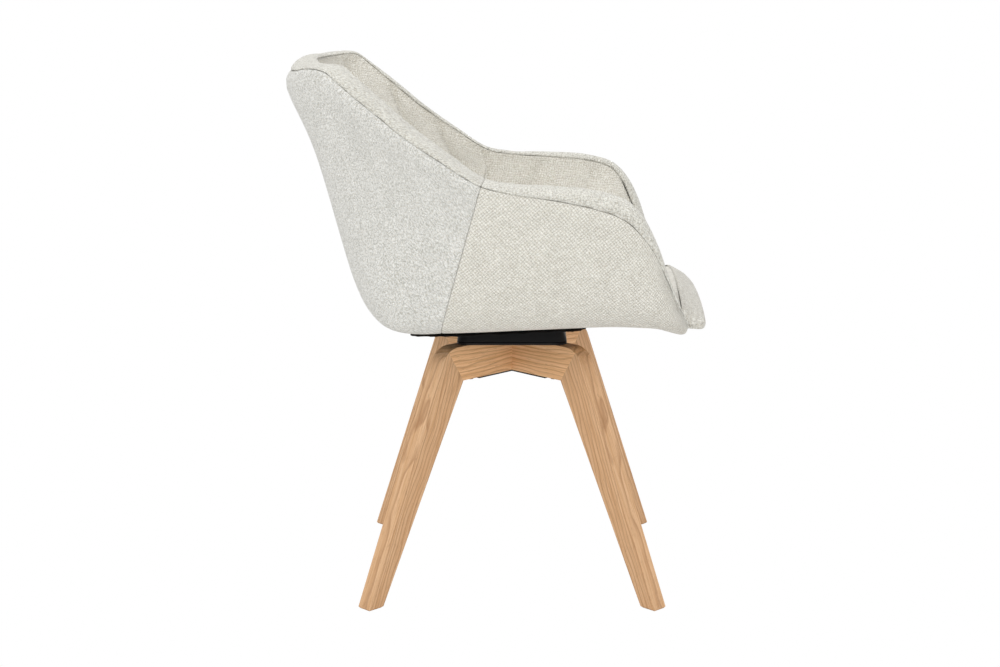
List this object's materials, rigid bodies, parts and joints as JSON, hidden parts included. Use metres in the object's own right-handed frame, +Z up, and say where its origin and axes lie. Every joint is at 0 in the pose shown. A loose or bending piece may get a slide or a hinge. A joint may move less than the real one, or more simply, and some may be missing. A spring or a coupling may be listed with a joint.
{
  "type": "swivel dining chair",
  "caption": "Upholstered bucket armchair whose seat turns on a ball turntable over a splayed oak cross base.",
  "frame": {"origin": "on the floor, under the swivel axis", "axes": "+X towards the front of the seat, +Y towards its left arm as the sitter sees it, +Z up along the swivel axis"},
  "size_m": [0.6581, 0.5294, 0.8497],
  "materials": {
    "oak_leg": "satin clear lacquer, straight grain along the leg",
    "oak_rail": "satin clear lacquer, straight grain along the rail",
    "beech_dowel": "plain turned",
    "glide": "moulded, lightly scuffed",
    "black_steel": "semi-gloss black powder coat",
    "zinc_steel": "zinc plated",
    "bearing_steel": "polished",
    "cage": "natural moulded",
    "plywood": "sanded, unfinished",
    "lining": "thin non-woven black lining",
    "shell_plastic": "moulded, matt",
    "cover_back": "coarse basket weave, matt",
    "cover_side": "coarse basket weave, matt",
    "cover_inside": "coarse basket weave over foam, quilted",
    "cover_rim": "coarse basket weave over foam",
    "cover_cushion": "coarse basket weave over foam"
  },
  "bodies": {
    "base": {"leg_front_left": "oak_leg", "leg_rear_left": "oak_leg", "leg_rear_right": "oak_leg", "leg_front_right": "oak_leg", "cross_rail_upper": "oak_rail", "cross_rail_lower": "oak_rail", "mitre_dowels": "beech_dowel", "foot_glides": "glide", "cross_strap": "black_steel", "strap_screws": "zinc_steel", "swivel_plate": "black_steel", "plate_nuts": "zinc_steel", "bolt_washers": "zinc_steel", "rail_bolts": "zinc_steel", "lower_race": "zinc_steel"},
    "bearing": {"bearing_balls": "bearing_steel", "ball_cage": "cage"},
    "seat": {"upper_race": "zinc_steel", "turntable_disc": "zinc_steel", "wedge_spacer": "black_steel", "seat_bracket": "black_steel", "pivot_pin": "zinc_steel", "pivot_washer": "zinc_steel", "pivot_nut": "zinc_steel", "seat_bolts": "zinc_steel", "tee_nuts": "zinc_steel", "seat_board": "plywood", "dust_cover": "lining", "outer_back_cover": "cover_back", "outer_side_cover_left": "cover_side", "outer_side_cover_right": "cover_side", "moulded_shell": "shell_plastic", "inner_back_pad": "cover_inside", "inner_arm_pad_left": "cover_inside", "inner_arm_pad_right": "cover_inside", "rim_back": "cover_rim", "rim_right": "cover_rim", "rim_left": "cover_rim", "seat_cushion": "cover_cushion", "front_roll": "cover_cushion"}
  },
  "joints": [
    {"name": "seat_swivel", "type": "hinge", "parent": "base", "child": "seat", "pos_m": [0, 0, 0.395], "axis": [0, 0, 1], "continuous": true},
    {"name": "bearing_roll", "type": "hinge", "parent": "base", "child": "bearing", "pos_m": [0, 0, 0.395], "axis": [0, 0, 1], "continuous": true}
  ],
  "couplings": [
    {"joint": "bearing_roll", "follows": "seat_swivel", "ratio": 0.5}
  ]
}
